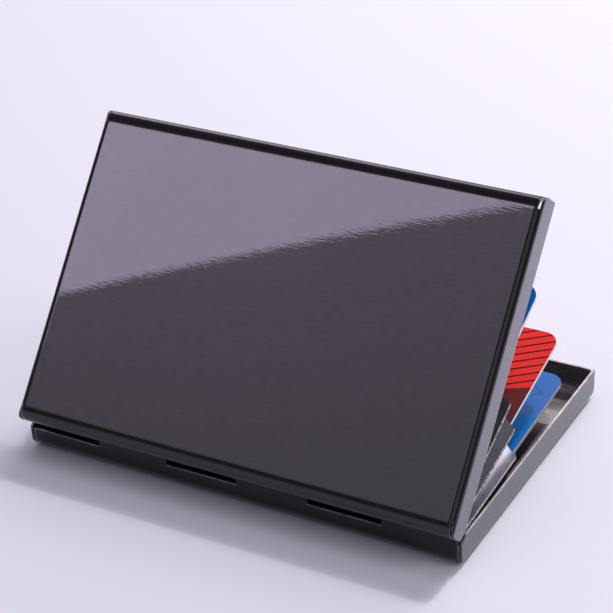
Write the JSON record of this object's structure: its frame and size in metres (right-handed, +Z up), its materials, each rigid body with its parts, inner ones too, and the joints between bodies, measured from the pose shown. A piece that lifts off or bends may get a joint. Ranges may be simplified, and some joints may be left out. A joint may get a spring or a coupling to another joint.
{
  "type": "hinged metal card wallet",
  "caption": "Slim rectangular metal card case on a piano hinge, lid half open, with a gusseted accordion card organiser and ID-1 cards inside.",
  "frame": {"origin": "centre of the flat underside of the base shell", "axes": "+Z up out of the base, X along the hinge, -Y the hinge side, +Y the opening side; stored with the lid open by 50.3 degrees"},
  "size_m": [0.096, 0.0689, 0.0591],
  "materials": {
    "gunmetal_steel": "dark gunmetal, brushed along the hinge",
    "pin_steel": "bright drawn wire",
    "spring_steel": "satin",
    "foam_tape": "matt foam",
    "leatherette": "fine grained leatherette",
    "gusset_film": "thin folded film, slightly glossy",
    "card_blue": "printed gloss",
    "card_red": "printed gloss",
    "card_navy": "printed gloss"
  },
  "bodies": {
    "base": {"base_tray": "gunmetal_steel", "hinge_pin": "pin_steel", "latch_spring": "spring_steel", "base_tape_left": "foam_tape", "base_tape_right": "foam_tape"},
    "lid": {"lid_shell": "gunmetal_steel", "latch_tongue": "spring_steel", "lid_tape_left": "foam_tape", "lid_tape_right": "foam_tape"},
    "base_board": {"base_board": "leatherette", "gusset_left_1": "gusset_film", "gusset_right_1": "gusset_film", "spine_pleat_1": "gusset_film"},
    "divider_1": {"divider_1": "leatherette", "gusset_left_2": "gusset_film", "gusset_right_2": "gusset_film", "spine_pleat_2": "gusset_film"},
    "divider_2": {"divider_2": "leatherette", "gusset_left_3": "gusset_film", "gusset_right_3": "gusset_film", "spine_pleat_3": "gusset_film"},
    "divider_3": {"divider_3": "leatherette", "gusset_left_4": "gusset_film", "gusset_right_4": "gusset_film", "spine_pleat_4": "gusset_film"},
    "lid_board": {"lid_board": "leatherette"},
    "card_blue": {"card_blue": "card_blue"},
    "card_red": {"card_red": "card_red"},
    "card_navy": {"card_navy": "card_navy"}
  },
  "joints": [
    {"name": "lid_hinge", "type": "hinge", "parent": "base", "child": "lid", "pos_m": [0, -0.0317, 0.0065], "axis": [1, 0, 0], "range_deg": [-50.3, 39.7]},
    {"name": "base_board_fold", "type": "hinge", "parent": "base", "child": "base_board", "pos_m": [0, -0.0317, 0.0065], "axis": [1, 0, 0], "range_deg": [-4.4, 3.51]},
    {"name": "divider_1_fold", "type": "hinge", "parent": "base_board", "child": "divider_1", "pos_m": [0, -0.0317, 0.0065], "axis": [1, 0, 0], "range_deg": [-10, 7.93], "deforming": ["gusset_left_1", "gusset_right_1", "spine_pleat_1"]},
    {"name": "divider_2_fold", "type": "hinge", "parent": "divider_1", "child": "divider_2", "pos_m": [0, -0.0317, 0.0065], "axis": [1, 0, 0], "range_deg": [-10.8, 8.57], "deforming": ["gusset_left_2", "gusset_right_2", "spine_pleat_2"]},
    {"name": "divider_3_fold", "type": "hinge", "parent": "divider_2", "child": "divider_3", "pos_m": [0, -0.0317, 0.0065], "axis": [1, 0, 0], "range_deg": [-10.9, 8.65], "deforming": ["gusset_left_3", "gusset_right_3", "spine_pleat_3"]},
    {"name": "lid_board_fold", "type": "hinge", "parent": "divider_3", "child": "lid_board", "pos_m": [0, -0.0317, 0.0065], "axis": [1, 0, 0], "range_deg": [-11, 8.72], "deforming": ["gusset_left_4", "gusset_right_4", "spine_pleat_4"]},
    {"name": "card_blue_slide", "type": "slide", "parent": "base_board", "child": "card_blue", "axis": [0, 0.9973, 0.0732], "range_m": [-0.0012, 0.0028]},
    {"name": "card_red_slide", "type": "slide", "parent": "divider_1", "child": "card_red", "axis": [0, 0.9703, 0.2419], "range_m": [0, 0.0035]},
    {"name": "card_navy_slide", "type": "slide", "parent": "divider_2", "child": "card_navy", "axis": [0, 0.9092, 0.4163], "range_m": [0, 0.0035]}
  ],
  "couplings": [
    {"joint": "base_board_fold", "follows": "lid_hinge", "ratio": 0.083499},
    {"joint": "divider_1_fold", "follows": "lid_hinge", "ratio": 0.19483},
    {"joint": "divider_2_fold", "follows": "lid_hinge", "ratio": 0.21074},
    {"joint": "divider_3_fold", "follows": "lid_hinge", "ratio": 0.21272},
    {"joint": "lid_board_fold", "follows": "lid_hinge", "ratio": 0.21471}
  ]
}
